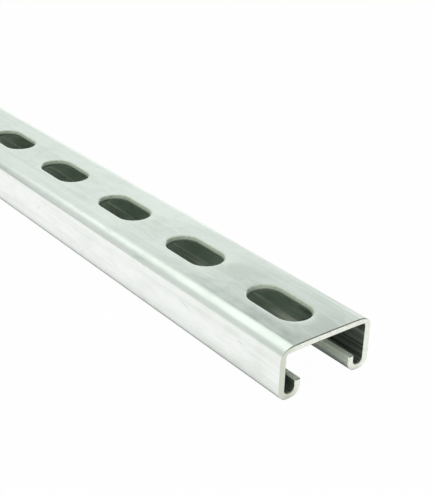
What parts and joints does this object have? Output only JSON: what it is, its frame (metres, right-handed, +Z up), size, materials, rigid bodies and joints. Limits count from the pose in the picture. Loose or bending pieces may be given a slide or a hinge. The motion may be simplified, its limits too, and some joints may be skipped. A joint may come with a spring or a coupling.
{
  "type": "slotted strut channel",
  "caption": "Shallow steel strut channel with a row of round-ended slots along its web and two lips turned back in beside its open side.",
  "frame": {"origin": "middle of the length and width, at the level of the lips' undersides, which the channel lies on", "axes": "+X along the channel towards the end that the picture shows, +Y across it to the right seen from that end looking in, +Z up through the slotted web"},
  "size_m": [1, 0.0412, 0.0206],
  "materials": {
    "galvanised_steel": "pre-galvanised, satin"
  },
  "bodies": {
    "root": {"strut_channel": "galvanised_steel"}
  },
  "joints": []
}
